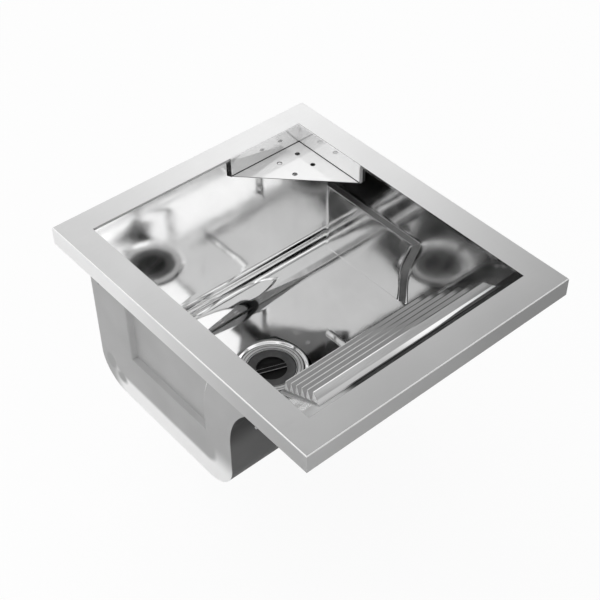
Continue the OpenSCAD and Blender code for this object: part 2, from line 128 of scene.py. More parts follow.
class Mat:
    """A material with object coordinates in millimetres."""

    def __init__(self, name, metallic, roughness):
        self.m = bpy.data.materials.new(name)
        self.m.use_nodes = True
        self.t = self.m.node_tree
        self.b = self.t.nodes["Principled BSDF"]
        self.b.inputs["Metallic"].default_value = metallic
        self.b.inputs["Roughness"].default_value = roughness
        self.tc = self.t.nodes.new("ShaderNodeTexCoord")
        n = self.t.nodes.new("ShaderNodeVectorMath")
        n.operation = "SCALE"
        n.inputs[3].default_value = 1.0 / MM
        self.t.links.new(self.tc.outputs["Object"], n.inputs[0])
        self.vec = n.outputs[0]
        sep = self.t.nodes.new("ShaderNodeSeparateXYZ")
        self.t.links.new(self.vec, sep.inputs[0])
        self.x, self.y, self.z = (Num(self.t, o) for o in sep.outputs)

    def noise(self, scale, stretch=(1, 1, 1), detail=3.0):
        """Noise from 0 to 1 with features about 1/scale mm across."""
        m = self.t.nodes.new("ShaderNodeMapping")
        m.inputs["Scale"].default_value = [s * scale for s in stretch]
        self.t.links.new(self.vec, m.inputs[0])
        n = self.t.nodes.new("ShaderNodeTexNoise")
        n.inputs["Scale"].default_value = 1.0
        n.inputs["Detail"].default_value = detail
        n.inputs["Roughness"].default_value = LAYER_SHARE
        self.t.links.new(m.outputs[0], n.inputs["Vector"])
        return Num(self.t, n.outputs[0])

    def colour(self, dark, light, k):
        """Base colour from dark to light as k goes from 0 to 1."""
        n = self.t.nodes.new("ShaderNodeMix")
        n.data_type = "RGBA"
        self.t.links.new(k.s, n.inputs[0])
        n.inputs[6].default_value = (*dark, 1)
        n.inputs[7].default_value = (*light, 1)
        self.t.links.new(n.outputs[2], self.b.inputs["Base Color"])

    def rough(self, k):
        """Roughness from a number."""
        self.t.links.new(k.s, self.b.inputs["Roughness"])

    def uneven(self, k, rough, lo=0.2, hi=0.8, least=0.85, most=1.2):
        """Roughness that follows a noise between two shares of its plain value."""
        self.rough(k.ramp(lo, hi, rough * least, rough * most))

    def bump(self, k, height, strength):
        """Bump of k, height in metres."""
        n = self.t.nodes.new("ShaderNodeBump")
        n.inputs["Strength"].default_value = strength
        n.inputs["Distance"].default_value = height
        self.t.links.new(k.s, n.inputs["Height"])
        self.t.links.new(n.outputs[0], self.b.inputs["Normal"])


def spot(a, b, ca, cb, ra, rb, soft):
    """1 inside a soft ellipse in the coordinates a and b, 0 outside."""
    u = (a - ca) / ra
    v = (b - cb) / rb
    r = u.op("POWER", 2.0) + v.op("POWER", 2.0)
    return r.op("SQRT").ramp(1.0 + soft, 1.0 - soft)


def line_at(value, place, half, soft=0.3):
    """1 where a value is within half of a place."""
    return (value - place).abs().ramp(half + soft, half - soft)


# Camera at the photograph's viewing angle: place and directions from the photo's straight edges
POS = Vector((-0.90986, -1.06205, 1.26949))
RIGHT = Vector((0.75801283, -0.65219843, -0.0073318))
DOWN = Vector((-0.45450414, -0.520115, -0.72312265))
AHEAD = Vector((0.46780608, 0.55146858, -0.69068073))
LENS = 74.448
SENSOR = 36.0
FARTHEST = 50.0

cam_data = bpy.data.cameras.new("camera")
cam_data.lens = LENS
cam_data.sensor_width = SENSOR
cam_data.clip_end = FARTHEST
cam = bpy.data.objects.new("camera", cam_data)
cam.matrix_world = Matrix((
    (RIGHT.x, -DOWN.x, -AHEAD.x, POS.x),
    (RIGHT.y, -DOWN.y, -AHEAD.y, POS.y),
    (RIGHT.z, -DOWN.z, -AHEAD.z, POS.z),
    (0, 0, 0, 1)))
scene.collection.objects.link(cam)
scene.camera = cam

# Helpers for shapes

# Points of a made mesh nearer than this become one, in millimetres
PUT_MERGE = 0.02


def put(name, verts, faces, mats=()):
    """A mesh piece from points in millimetres."""
    bm = bmesh.new()
    vs = [bm.verts.new(Vector(v) * MM) for v in verts]
    for f in faces:
        bm.faces.new([vs[i] for i in f])
    bmesh.ops.remove_doubles(bm, verts=bm.verts, dist=PUT_MERGE * MM)
    bmesh.ops.recalc_face_normals(bm, faces=bm.faces)
    me = bpy.data.meshes.new(name)
    bm.to_mesh(me)
    bm.free()
    for p in me.polygons:
        p.use_smooth = True
    ob = bpy.data.objects.new(name, me)
    scene.collection.objects.link(ob)
    for m in mats:
        me.materials.append(m.m)
    return ob


def face_to(ob, point):
    """Turns a one-sheet mesh so that its faces look at a point, in millimetres."""
    me = ob.data
    p = Vector(point) * MM
    score = sum((p - f.center).dot(f.normal) * f.area for f in me.polygons)
    if score < 0:
        me.flip_normals()


def grid(rows):
    """Faces of a grid of rows of points: (points, faces)."""
    n = len(rows[0])
    verts = [p for r in rows for p in r]
    faces = []
    for i in range(len(rows) - 1):
        for j in range(n - 1):
            a = i * n + j
            faces.append((a, a + 1, a + n + 1, a + n))
    return verts, faces


def joined(*parts):
    """Several meshes as one: (points, faces)."""
    verts, faces = [], []
    for v, f in parts:
        k = len(verts)
        verts += v
        faces += [tuple(i + k for i in q) for q in f]
    return verts, faces


def steps(marks, counts):
    """Numbers from mark to mark, each stretch cut into its count."""
    out = [marks[0]]
    for a, b, n in zip(marks, marks[1:], counts):
        out += [a + (b - a) * i / n for i in range(1, n + 1)]
    return out


def modify(ob, kind, **settings):
    """Adds a modifier with its settings."""
    m = ob.modifiers.new(kind.lower(), kind)
    for k, v in settings.items():
        setattr(m, k, v)


def apply_all(ob):
    """Makes the modifiers' result the mesh itself."""
    dg = bpy.context.evaluated_depsgraph_get()
    me = bpy.data.meshes.new_from_object(ob.evaluated_get(dg))
    old = ob.data
    ob.modifiers.clear()
    ob.data = me
    bpy.data.meshes.remove(old)


def dressed(node, mats, width, segments, pick=None):
    """A rounded, smooth copy of a CAD node that stands for it."""
    src = frame["nodes"][node]
    bm = bmesh.new()
    bm.from_mesh(src.data)
    bmesh.ops.remove_doubles(bm, verts=bm.verts, dist=CAD_MERGE)
    bmesh.ops.dissolve_limit(bm, angle_limit=math.radians(FLAT_ANGLE), verts=bm.verts, edges=bm.edges)
    bmesh.ops.recalc_face_normals(bm, faces=bm.faces)
    me = bpy.data.meshes.new(node + "_piece")
    bm.to_mesh(me)
    bm.free()
    ob = bpy.data.objects.new(node + "_piece", me)
    scene.collection.objects.link(ob)
    me.materials.clear()
    for m in mats:
        me.materials.append(m.m)
    for p in me.polygons:
        p.use_smooth = True
        p.material_index = pick(p) if pick else 0
    me.set_sharp_from_angle(angle=math.radians(EDGE_ANGLE))
    modify(ob, "BEVEL", width=width * MM, segments=segments, limit_method="ANGLE",
           angle_limit=math.radians(EDGE_ANGLE), harden_normals=True, use_clamp_overlap=True)
    apply_all(ob)
    done(ob, node)


# Body of each CAD node
BODY = {n: b for b, ns in frame["record"]["behaviour"]["bodies"].items() for n in ns}


def done(ob, node):
    """A piece rides on its node's body and stands for the node."""
    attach(ob, BODY[node])
    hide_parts(node)


# Sizes of the bowl, millimetres

# Thickness of the sheet, half width outside, outer faces of floor, front and back wall, top edge
SHEET = 1.2
HALF = 215.0
FLOOR = -304.0
FRONT = -76.0
BACK = 277.0
TOP = 31.8
# Bends: floor to front wall, floor to back wall, front wall to shelf
R_TOE = 62.0
R_BACK = 60.0
R_KNEE = 145.0
# Slope of the shelf, and its upper edge as (y, z)
TILT = math.radians(38.5)
SHELF = (-252.0, 32.0)
# Centres of the bends
TOE = (FRONT + R_TOE, FLOOR + R_TOE)
HEEL = (BACK - R_BACK, FLOOR + R_BACK)
KNEE_Y = FRONT - R_KNEE
KNEE_Z = (SHELF[1] - math.tan(TILT) * (KNEE_Y + (R_KNEE + SHEET) * math.sin(TILT) - SHELF[0])
          - (R_KNEE + SHEET) * math.cos(TILT))
# Rim: half width, half depth, top of its deck
RIM_X = 255.0
RIM_Y = 300.0
RIM_Z = 33.0
# Axis of the waste
DRAIN = (8.0, 98.0)
# Drawn recess: depth, rings of its flat part, start and run of its slope
RECESS_D = 3
RECESS_RINGS = (46.5, 50, 54, 57)
DRAW_IN = 58.5
DRAW_RUN = 6.0
# Square of floor round the recess: half its side, and the rings out to it as shares of the way
RECESS_SQUARE = 75.0
SQUARE_SHARES = (0.3, 0.6, 1.0)
# Ridges: height of the crests, distance of the topmost crest from the upper edge of the shelf
RIDGE_H = 14.8
RIDGE_TOP = 40.8
# Washboard: slant of its ends; left end and start of the painted shade at the right end, at the shelf's
# upper edge
RIDGE_SLANT = 0.23
RIDGE_LEFT = -184.0
RIDGE_SHADE_X = 158
# Distances above the topmost crest where its painted bright foot and the painted dark reflection beyond it
# begin
FOOT_START = 11.0
FOOT_END = 19.0
# Soap dish: right edge, back edge, upper face of its floor, right of its left return, holes
DISH_X = 209.0
DISH_Y = 255.0
DISH_Z = -3.0
DISH_LEFT = 90.0
DISH_HOLES = [(x, y) for x in (143.0, 182.5) for y in (189.0, 228.5)]
# Radius of the painted shade round each hole
HOLE_SHADE_R = 4.5
# Upright faces of the rim within this half width of this middle belong to the side lips of the opening
LIP_HALF = 212.0
LIP_MIDDLE = 2.0
# Painted dark reflection under the dish on the right panel: its lower front limit, slope, softness and
# strength
SHADE_START = 36.0
SHADE_SLOPE = 0.72
SHADE_SOFT = 18
SHADE_SHARE = 0.93
# Heights between which the polished sheet takes on its upper haze
HAZE_Z = (-250, -215)
# Steps of the meshes
COLUMNS = 24
SHELF_STEPS = 8
KNEE_STEPS = 36
WALL_STEPS = 6
TOE_STEPS = 30
HEEL_STEPS = 36
BACK_STEPS = 12
FLOOR_STEPS = 6
RING_STEPS = 144
DRAW_STEPS = 8


def front_y(z, off):
    """Y of shelf, knee, wall and toe at height z, moved in by off."""
    r = R_KNEE + off
    tz = KNEE_Z + r * math.cos(TILT)
    if z >= tz:
        return KNEE_Y + r * math.sin(TILT) - (z - tz) / math.tan(TILT)
    if z >= KNEE_Z:
        return KNEE_Y + math.sqrt(r * r - (z - KNEE_Z) ** 2)
    if z >= TOE[1]:
        return FRONT + off
    return TOE[0] - math.sqrt(max((R_TOE - off) ** 2 - (TOE[1] - z) ** 2, 0))


def back_y(z, off):
    """Y of the back wall and its lower bend at height z, moved in by off."""
    if z >= HEEL[1]:
        return BACK - off
    return HEEL[0] + math.sqrt(max((R_BACK - off) ** 2 - (HEEL[1] - z) ** 2, 0))


def arc(centre, r, start, stop, n):
    """Points along an arc after its first, angles in degrees."""
    out = []
    for i in range(1, n + 1):
        a = math.radians(start + (stop - start) * i / n)
        out.append((centre[0] + r * math.cos(a), centre[1] + r * math.sin(a)))
    return out


def line(a, b, n):
    """Points along a straight line after its first."""
    return [(a[0] + (b[0] - a[0]) * i / n, a[1] + (b[1] - a[1]) * i / n) for i in range(1, n + 1)]


def bent(path):
    """Sheet between the side plates along a path in Y and Z."""
    half = HALF - SHEET
    return grid([[(half * (2 * j / COLUMNS - 1), y, z) for j in range(COLUMNS + 1)] for y, z in path])


def front_sheet():
    """Shelf, knee bend, front wall and toe bend."""
    r = R_KNEE + SHEET
    knee = (KNEE_Y + r * math.sin(TILT), KNEE_Z + r * math.cos(TILT))
    path = [(front_y(TOP, SHEET), TOP)]
    path += line(path[0], knee, SHELF_STEPS)
    path += arc((KNEE_Y, KNEE_Z), r, 90 - math.degrees(TILT), 0, KNEE_STEPS)
    path += line(path[-1], (FRONT + SHEET, TOE[1]), WALL_STEPS)
    path += arc(TOE, R_TOE - SHEET, 180, 270, TOE_STEPS)
    return bent(path)


def ring_points(r, z):
    """Closed ring round the drain at height z."""
    out = []
    for k in range(RING_STEPS + 1):
        a = 2 * math.pi * k / RING_STEPS
        out.append((DRAIN[0] + r * math.cos(a), DRAIN[1] + r * math.sin(a), z))
    return out


def wrap_sheet():
    """Floor with the drawn recess, heel bend and back wall."""
    w = HALF - SHEET
    q = RECESS_SQUARE
    z = FLOOR + SHEET
    path = [(HEEL[0], z)]
    path += arc(HEEL, R_BACK - SHEET, -90, 0, HEEL_STEPS)
    path += line(path[-1], (BACK - SHEET, TOP), BACK_STEPS)
    parts = [bent(path)]
    xs = [-w, DRAIN[0] - q, DRAIN[0] + q, w]
    ys = [TOE[0], DRAIN[1] - q, DRAIN[1] + q, HEEL[0]]
    for i in range(3):
        for j in range(3):
            if i == 1 and j == 1:
                continue
            cols = steps(xs[i:i + 2], [FLOOR_STEPS])
            rows = steps(ys[j:j + 2], [FLOOR_STEPS])
            parts.append(grid([[(x, y, z) for x in cols] for y in rows]))
    rings = [ring_points(r, z - RECESS_D) for r in (*RECESS_RINGS, DRAW_IN)]
    for i in range(1, DRAW_STEPS + 1):
        t = i / DRAW_STEPS
        rings.append(ring_points(DRAW_IN + DRAW_RUN * t, z - RECESS_D + RECESS_D * t * t * (3 - 2 * t)))
    draw_out = DRAW_IN + DRAW_RUN
    for t in SQUARE_SHARES:
        ring = []
        for px, py, pz in ring_points(1.0, z):
            c, s = px - DRAIN[0], py - DRAIN[1]
            r = draw_out + (q / max(abs(c), abs(s)) - draw_out) * t
            ring.append((DRAIN[0] + r * c, DRAIN[1] + r * s, z))
        rings.append(ring)
    parts.append(grid(rings))
    return joined(*parts)


# Emboss of the side panels: height, width of its bevels, outline, and front edge as (z, y) from below
RISE = 8.5
RUN = 5.5
RUN_FRONT = 8.0
EMB_BACK = 183.0
EMB_TOP = -47.0
EMB_LOW = -198.0
EMB_FORE = -45.0
FLARE = [(-198, -15), (-146, -15.2), (-133, -16.2), (-120, -18.2), (-105, -22),
         (-92, -26.2), (-78, -31), (-66, -35.3), (-57, -37.6), (-47, -38)]
# Rounding of a bevel as a share of its width, and half width of the fine rows of mesh round its edges
EMB_ROUND_SHARE = 0.16
EMB_FINE = 1.1
# The emboss starts at least this far behind the panel's front edge
EMB_MARGIN = 4
# Painted highlight outside along the front crest of the emboss: half width, distances from its lower and
# upper end
LINE_HALF = 1.3
LINE_LOW = 6
LINE_TOP = 20
# Rows of the side panel's mesh from the lower bends to the top, columns from front to back
LOW_ROWS = 24
PANEL_ROWS = [6, 4, 3, 4, 40, 4, 3, 4, 14]
PANEL_COLUMNS = [14, 4, 3, 4, 36, 4, 3, 4, 12]


def emboss_front(z):
    """Front edge of the emboss at height z."""
    z = max(min(z, EMB_TOP), EMB_LOW)
    for (za, ya), (zb, yb) in zip(FLARE, FLARE[1:]):
        if z <= zb:
            return ya + (yb - ya) * (z - za) / (zb - za)
    return FLARE[-1][1]


def emboss_at(y, z):
    """Height of the emboss at a place on the side panel: flat bevels with small radii."""
    across = min((y - emboss_front(z)) / RUN_FRONT, (EMB_BACK - y) / RUN)
    d = min(across, (EMB_TOP - z) / RUN, (z - EMB_LOW) / RUN)
    k = EMB_ROUND_SHARE

    def foot(t):
        if t <= -k:
            return 0.0
        return t if t >= k else (t + k) ** 2 / (4 * k)

    return RISE * (1.0 - foot(1.0 - min(foot(d), 1.0 + k)))


def side_sheet():
    """Inner face of the left side panel, with the outline of its outer face."""
    c = EMB_FINE
    low = [FLOOR + R_TOE * (1 - math.cos(math.radians(90 * i / LOW_ROWS))) for i in range(LOW_ROWS + 1)]
    marks = [TOE[1], EMB_LOW - c, EMB_LOW + c, EMB_LOW + RUN - c, EMB_LOW + RUN + c,
             EMB_TOP - RUN - c, EMB_TOP - RUN + c, EMB_TOP - c, EMB_TOP + c, TOP]
    rows = []
    for z in low[:-1] + steps(marks, PANEL_ROWS):
        first = front_y(z, 0)
        f = max(emboss_front(z), first + EMB_MARGIN)
        places = [first, f - c, f + c, f + RUN_FRONT - c, f + RUN_FRONT + c,
                  EMB_BACK - RUN - c, EMB_BACK - RUN + c, EMB_BACK - c, EMB_BACK + c, back_y(z, 0)]
        rows.append([(SHEET - HALF + emboss_at(y, z), y, z) for y in steps(places, PANEL_COLUMNS)])
    return grid(rows)


def mirrored(part):
    """The same mesh on the other side of the middle."""
    v, f = part
    return [(-x, y, z) for x, y, z in v], f


def sheet_piece(node, part, mats, look_at, pick=None):
    """A panel as thick as the sheet, from its inner face."""
    ob = put(node + "_piece", *part, mats=mats)
    face_to(ob, look_at)
    modify(ob, "SOLIDIFY", thickness=SHEET * MM, offset=-1.0, material_offset=1, material_offset_rim=1)
    apply_all(ob)
    if pick:
        for p in ob.data.polygons:
            p.material_index = pick(p)
    ob.data.set_sharp_from_angle(angle=math.radians(SHEET_SHARP))
    done(ob, node)


def emboss_faces(p):
    """Material of a face of a side panel, as an index into SIDE_MATS."""
    n, c = p.normal, p.center / MM
    outside = p.material_index == 1
    on_level = EMB_LOW - 2 <= c.z <= EMB_TOP + 2 and EMB_FORE < c.y < EMB_BACK + 2
    if abs(n.x) > 0.99 or not on_level:
        return p.material_index
    if outside:
        # Painted highlight line along the outer front crest of the emboss
        at_crest = abs(c.y - emboss_front(c.z) - RUN_FRONT) < LINE_HALF
        if n.y > 0.05 and at_crest and EMB_LOW + LINE_LOW < c.z < EMB_TOP - LINE_TOP:
            return SIDE_MATS.index(OUTSIDE_HIGHLIGHT)
        # The upward facing outer bevels of the emboss take a darker copy of the finish as painted shade
        return SIDE_MATS.index(OUTSIDE_DENT_SHADED if n.z > 0.5 else OUTSIDE)
    # Inside, the upper bevels take painted shade and the front bevels a painted grey reflection
    if n.z > 0.5:
        return SIDE_MATS.index(BEVEL_SHADED)
    return SIDE_MATS.index(BEVEL_GREY_REFLECTION if n.y < -0.3 else INSIDE_SIDE)


# Materials


def steel_inside(name, upper, rough=0.055, base=0.985, shaded=False):
    """Polished sheet: faint waves, another haze above the lower bends, painted dark reflection under the
    dish if shaded.
    """
    m = Mat(name, metallic=1.0, roughness=rough)
    haze = m.noise(0.012, detail=4)
    k = haze.ramp(0.3, 0.7, 0.965, 1.0)
    if shaded:
        # Painted dark reflection under the dish, on the right panel only
        painted_reflection_under_dish = (m.y + m.z * SHADE_SLOPE).ramp(SHADE_START, SHADE_START + SHADE_SOFT)
        painted_reflection_under_dish = painted_reflection_under_dish * m.z.ramp(EMB_TOP - 4, EMB_TOP)
        k = k * (painted_reflection_under_dish * m.x.ramp(0, 50) * SHADE_SHARE).inv()
    m.colour(grey(0.0), grey(base), k)
    m.rough(haze.ramp(0.3, 0.75, 0.7, 1.4) * m.z.ramp(*HAZE_Z, rough, upper))
    wave = m.noise(0.011, detail=1.5)
    m.bump(wave, 0.0012, 0.3)
    return m


def edge_distance(m):
    """Distance from the lower outline of a side plate, in millimetres."""
    u = (m.y * -1.0 + TOE[0]).op("MAXIMUM", 0.0)
    w = (m.y - HEEL[0]).op("MAXIMUM", 0.0)
    v = (m.z * -1.0 + TOE[1]).op("MAXIMUM", 0.0)
    r = (u * u + w * w + v * v).op("SQRT")
    return r * -1.0 + R_TOE


# Painted dark reflections at the lower back of the left panel: place and radii in Y and Z
PAINTED_REFLECTION_SPOTS = [(250, -252, 11, 13), (222, -271, 12, 10)]
# Painted highlight along the lower edge of the side panels: where it fades, by distance from the outline,
# by Z and by Y
PAINTED_EDGE_HIGHLIGHT = (46, 34)
PAINTED_HIGHLIGHT_Z = (-215, -272)
PAINTED_HIGHLIGHT_Y = (252, 215)
# Heights between which the painted shades under the shelf and along the toe fade
SHELF_SHADE = (-130, -205)
TOE_SHADE = (-292, -268)


def steel_outside(name, base=0.4, edge_highlight=1.0, rough=0.42):
    """Plain mill finish with a painted highlight along the lower edge and painted dark reflections on the
    left panel.
    """
    m = Mat(name, metallic=0.5, roughness=rough)
    grain = m.noise(1.2, stretch=(1, 0.05, 1), detail=2)
    cloud = m.noise(0.01, detail=2)
    # Painted highlight: the lower edge of the panel lighter
    edge = edge_distance(m).ramp(*PAINTED_EDGE_HIGHLIGHT) * m.z.ramp(*PAINTED_HIGHLIGHT_Z) * m.y.ramp(*PAINTED_HIGHLIGHT_Y)
    k = (cloud.ramp(0.2, 0.8) * 0.1 + grain * 0.08 + 0.02).mix(1.0, edge)
    # Painted dark reflections, on the left panel only
    rear, low = (spot(m.y, m.z, *place, 0.6) for place in PAINTED_REFLECTION_SPOTS)
    painted_dark_reflection = rear + low
    k = k.mix(-0.2, painted_dark_reflection.op("MINIMUM", 1.0) * m.x.ramp(0, -50))
    m.colour(grey(base * 0.96), grey(edge_highlight), k)
    m.uneven(grain, rough, most=1.15)
    m.bump(grain, 0.00002, 0.3)
    return m


def front_outside(name, rough=0.35):
    """Outer side of the front sheet, with painted shade under the shelf and along the toe."""
    m = Mat(name, metallic=0.8, roughness=rough)
    cloud = m.noise(0.02, detail=3)
    level = m.z.ramp(*SHELF_SHADE, 0.004, 0.17) * m.z.ramp(*TOE_SHADE, 0.1, 1.0)
    k = level * (cloud * 0.3 + 0.85)
    m.colour(grey(0.0), grey(1.0), k)
    m.uneven(cloud, rough, 0.3, 0.7)
    m.bump(cloud, 0.0002, 0.3)
    return m


def rim_steel(name, rough=0.34):
    """Brushed rim with painted shade: deck darker to the front left, left edge darker to the front, front
    edge darker to the right.
    """
    m = Mat(name, metallic=0.95, roughness=rough)
    grain = m.noise(1.6, stretch=(0.02, 1, 1), detail=3)
    cloud = m.noise(0.006, detail=3)
    # Painted shade: gradients over the deck, the left edge and the front edge
    deck = m.y.ramp(-330, 330, 0.46, 0.82) * m.x.ramp(-360, 200, 0.66, 1.0)
    left = m.y.ramp(-300, 250, 0.49, 1.0)
    front = m.x.ramp(-260, 260, 0.54, 0.3)
    below = m.z.ramp(RIM_Z - 1.0, RIM_Z - 2.0)
    on_left = m.x.ramp(1.8 - RIM_X, 0.8 - RIM_X) * below
    on_front = m.y.ramp(1.8 - RIM_Y, 0.8 - RIM_Y) * below
    level = deck.mix(left, on_left).mix(front, on_front)
    k = level * (grain * 0.12 + cloud.ramp(0.3, 0.7) * 0.06 + 0.91)
    m.colour(grey(0.0), grey(1.0), k)
    m.uneven(grain, rough)
    m.bump(grain, 0.00001, 0.3)
    return m


def lip_steel(name):
    """Turned-down lip round the opening with painted shade along its bend."""
    m = Mat(name, metallic=1.0, roughness=0.1)
    cloud = m.noise(0.02, detail=3)
    # Painted shade: dark along the top, at the bend
    m.colour(grey(0.04), grey(0.9), cloud.ramp(0.3, 0.7, 0.85, 1.0) * m.z.ramp(RIM_Z - 0.4, RIM_Z - 1.2))
    m.rough(cloud.ramp(0.3, 0.7, 0.08, 0.14))
    m.bump(cloud, 0.0002, 0.3)
    return m


def shelf_coordinates(m):
    """Distance down the shelf from its upper edge and height above it, in millimetres."""
    c, t = math.cos(TILT), math.sin(TILT)
    along = (m.y - SHELF[0]) * c - (m.z - SHELF[1]) * t
    high = (m.y - SHELF[0]) * t + (m.z - SHELF[1]) * c
    return along, high


def ridge_steel(name, base=0.25, rough=0.33):
    """Ground ridges: grain along them, painted highlight on the crests to the left and on the upper foot,
    painted shade at the right end.
    """
    m = Mat(name, metallic=0.9, roughness=rough)
    grain = m.noise(1.3, stretch=(0.03, 1, 1), detail=3)
    along, high = shelf_coordinates(m)
    # Painted highlight on the crests, fading to the right
    crest = high.ramp(RIDGE_H - 1.6, RIDGE_H - 0.8)
    lower = along.ramp(RIDGE_TOP - 3, RIDGE_TOP + 3)
    # Painted shade at the right end
    end = (m.x + along * RIDGE_SLANT).ramp(RIDGE_SHADE_X, RIDGE_SHADE_X + 14) * lower
    # Painted highlight along the upper foot, painted dark reflection beyond it
    foot = along.ramp(RIDGE_TOP - FOOT_START, RIDGE_TOP - FOOT_START - 1.4)
    edge = (along - m.x.ramp(30, 120, 0.0, 3.5)).ramp(RIDGE_TOP - FOOT_END, RIDGE_TOP - FOOT_END - 1.0)
    edge = edge * m.x.ramp(-135, -115)
    k = (grain * 0.22 + 0.2).mix(0.05, end).mix(m.x.ramp(60, -40, 0.02, 0.75), crest)
    margin = high.ramp(1.6, 1.2) * (m.x - along * RIDGE_SLANT).ramp(RIDGE_LEFT + 0.5, RIDGE_LEFT - 0.5)
    k = k.mix(m.x.ramp(-60, 40, 0.5, 1.0), foot).mix(0.0, edge).mix(0.6, margin)
    m.colour(grey(base * 0.2), grey(0.92), k)
    m.uneven(grain, rough)
    m.bump(grain, 0.00002, 0.4)
    return m


def shelf_steel(name, rough=0.45):
    """Satin sheet round the ridges, with painted shade along their upper foot and in the right third."""
    m = Mat(name, metallic=0.9, roughness=rough)
    cloud = m.noise(0.03, detail=3)
    along = shelf_coordinates(m)[0]
    # Painted shade along the ridges' upper foot and over the right third
    dark = (m.x.ramp(50, 75) + along.ramp(40, 30) * m.x.ramp(-150, -118)).op("MINIMUM", 1.0)
    k = (cloud * 0.1 + 0.6) * dark.inv()
    m.colour(grey(0.004), grey(1.0), k)
    m.uneven(cloud, rough, 0.3, 0.7)
    m.bump(m.noise(0.02, detail=1.5), 0.0004, 0.3)
    return m


def dish_steel(name):
    """Mirror polished dish with painted shade in the folds between floor and flanges and round its holes.
    """
    m = Mat(name, metallic=0.5, roughness=0.05)
    haze = m.noise(0.012, detail=4)
    # Painted shade in the folds and round the holes
    fold = m.y.ramp(DISH_Y - 2.6, DISH_Y - 1.9) + m.x.ramp(DISH_X - 2.6, DISH_X - 1.9)
    fold = m.z.ramp(DISH_Z + 1.7, DISH_Z + 1.0) * fold
    for x, y in DISH_HOLES:
        fold = fold + spot(m.x, m.y, x, y, HOLE_SHADE_R, HOLE_SHADE_R, 0.08)
    m.colour(grey(0.05), grey(0.97), fold.op("MINIMUM", 1.0).inv() * haze.ramp(0.3, 0.7, 0.95, 1.0))
    m.rough(haze.ramp(0.3, 0.75, 0.04, 0.07))
    m.bump(m.noise(0.02, detail=1.5), 0.0004, 0.3)
    return m


def around_drain(m):
    """Distance from the drain's axis, in millimetres."""
    u, v = m.x - DRAIN[0], m.y - DRAIN[1]
    return (u * u + v * v).op("SQRT")


# Turned lines of the waste's flange: radius and half width
TURNED = [(45.6, 0.7), (51.5, 0.5), (56.3, 0.6)]


def waste_steel(name):
    """Polished flange with turned rings."""
    m = Mat(name, metallic=0.3, roughness=0.2)
    r = around_drain(m)
    cloud = m.noise(0.05, detail=4)
    inner, middle, outer = (line_at(r, place, half) for place, half in TURNED)
    rings = inner + middle + outer
    m.colour(grey(0.06), grey(0.98), rings.op("MINIMUM", 1.0).inv() * cloud.ramp(0.3, 0.7, 0.94, 1.0))
    m.rough(cloud.ramp(0.2, 0.8, 0.16, 0.26))
    m.bump(m.noise(1.5), 0.00001, 0.3)
    return m


# Plug: turn of the grip bar in degrees, its half width, radii of the painted shade in the hollow and of the
# cap, with their softness
GRIP_TURN = -21.0
GRIP_HALF = 4.4
WELL_R = 27.6
WELL_SOFT = 0.8
CAP_R = 42.0
CAP_SOFT = 0.4
# Heights between which the painted glint on the grip bar fades in
GLINT_Z = (-307.6, -306.6)


def plug_plastic(name):
    """Dark moulded cap: grey ring, painted shade in the hollow and past the cap's edge, painted highlight
    on the grip bar's edges.
    """
    m = Mat(name, metallic=0.0, roughness=0.38)
    m.b.inputs["Specular IOR Level"].default_value = 0.2
    r = around_drain(m)
    turn = math.radians(GRIP_TURN)
    across = (m.y - DRAIN[1]) * math.cos(turn) - (m.x - DRAIN[0]) * math.sin(turn)
    hollow_shade = r.ramp(WELL_R, WELL_R - WELL_SOFT)
    # Painted highlight on the grip bar's edges, painted shade in the hollow
    glint = line_at(across.abs(), GRIP_HALF, 0.5) * hollow_shade * m.z.ramp(*GLINT_Z)
    cloud = m.noise(0.04, detail=4)
    k = cloud.ramp(0.3, 0.7, 0.2, 0.27)
    k = k.mix(0.0, hollow_shade + r.ramp(CAP_R, CAP_R + CAP_SOFT)).mix(1.0, glint)
    m.colour(grey(0.006), grey(0.5), k)
    m.rough(cloud.ramp(0.2, 0.8, 0.34, 0.46))
    m.bump(m.noise(1.0, detail=4), 0.00004, 0.4)
    return m


def plain_metal(name, base, rough, tint=(1, 1, 1)):
    """Metal with soft clouds in its colour and roughness."""
    m = Mat(name, metallic=1.0, roughness=rough)
    cloud = m.noise(0.05, detail=4)
    m.colour(tuple(base * 0.8 * c for c in tint), tuple(base * c for c in tint), cloud.ramp(0.3, 0.7))
    m.uneven(cloud, rough, least=0.8, most=1.3)
    m.bump(m.noise(1.5), 0.00002, 0.3)
    return m


def pale_metal(name, low, high, rough=0.5):
    """Unpolished sheet that scatters its light."""
    m = Mat(name, metallic=0.05, roughness=rough)
    cloud = m.noise(0.05, detail=4)
    m.colour(grey(low), grey(high), cloud.ramp(0.3, 0.7))
    m.uneven(cloud, rough)
    m.bump(m.noise(1.2, stretch=(0.05, 1, 1)), 0.00002, 0.4)
    return m


def plastic(name, dark, light, rough, grain=1.4, height=0.00006):
    """Moulded or woven stuff with soft clouds and a fine grain."""
    m = Mat(name, metallic=0.0, roughness=rough)
    cloud = m.noise(0.04, detail=4)
    m.colour(dark, light, cloud.ramp(0.3, 0.7))
    m.uneven(cloud, rough)
    m.bump(m.noise(grain, detail=4), height, 0.5)
    return m


INSIDE = steel_inside("polished_sheet", upper=0.085)
INSIDE_SIDE = steel_inside("polished_side", rough=0.1, upper=0.1, shaded=True)
RIM_LIP = lip_steel("rim_lip")
SHELF_STEEL = shelf_steel("shelf_sheet")
OUTSIDE = steel_outside("outside_sheet")
# Darker copy of the outer finish: painted shade on the emboss's upward facing outer bevels
OUTSIDE_DENT_SHADED = steel_outside("outside_dent_painted_shade", base=0.3)
OUTSIDE_FRONT = front_outside("outside_front")
OUTSIDE_HIGHLIGHT = pale_metal("outside_catch_light", 0.9, 1.0)
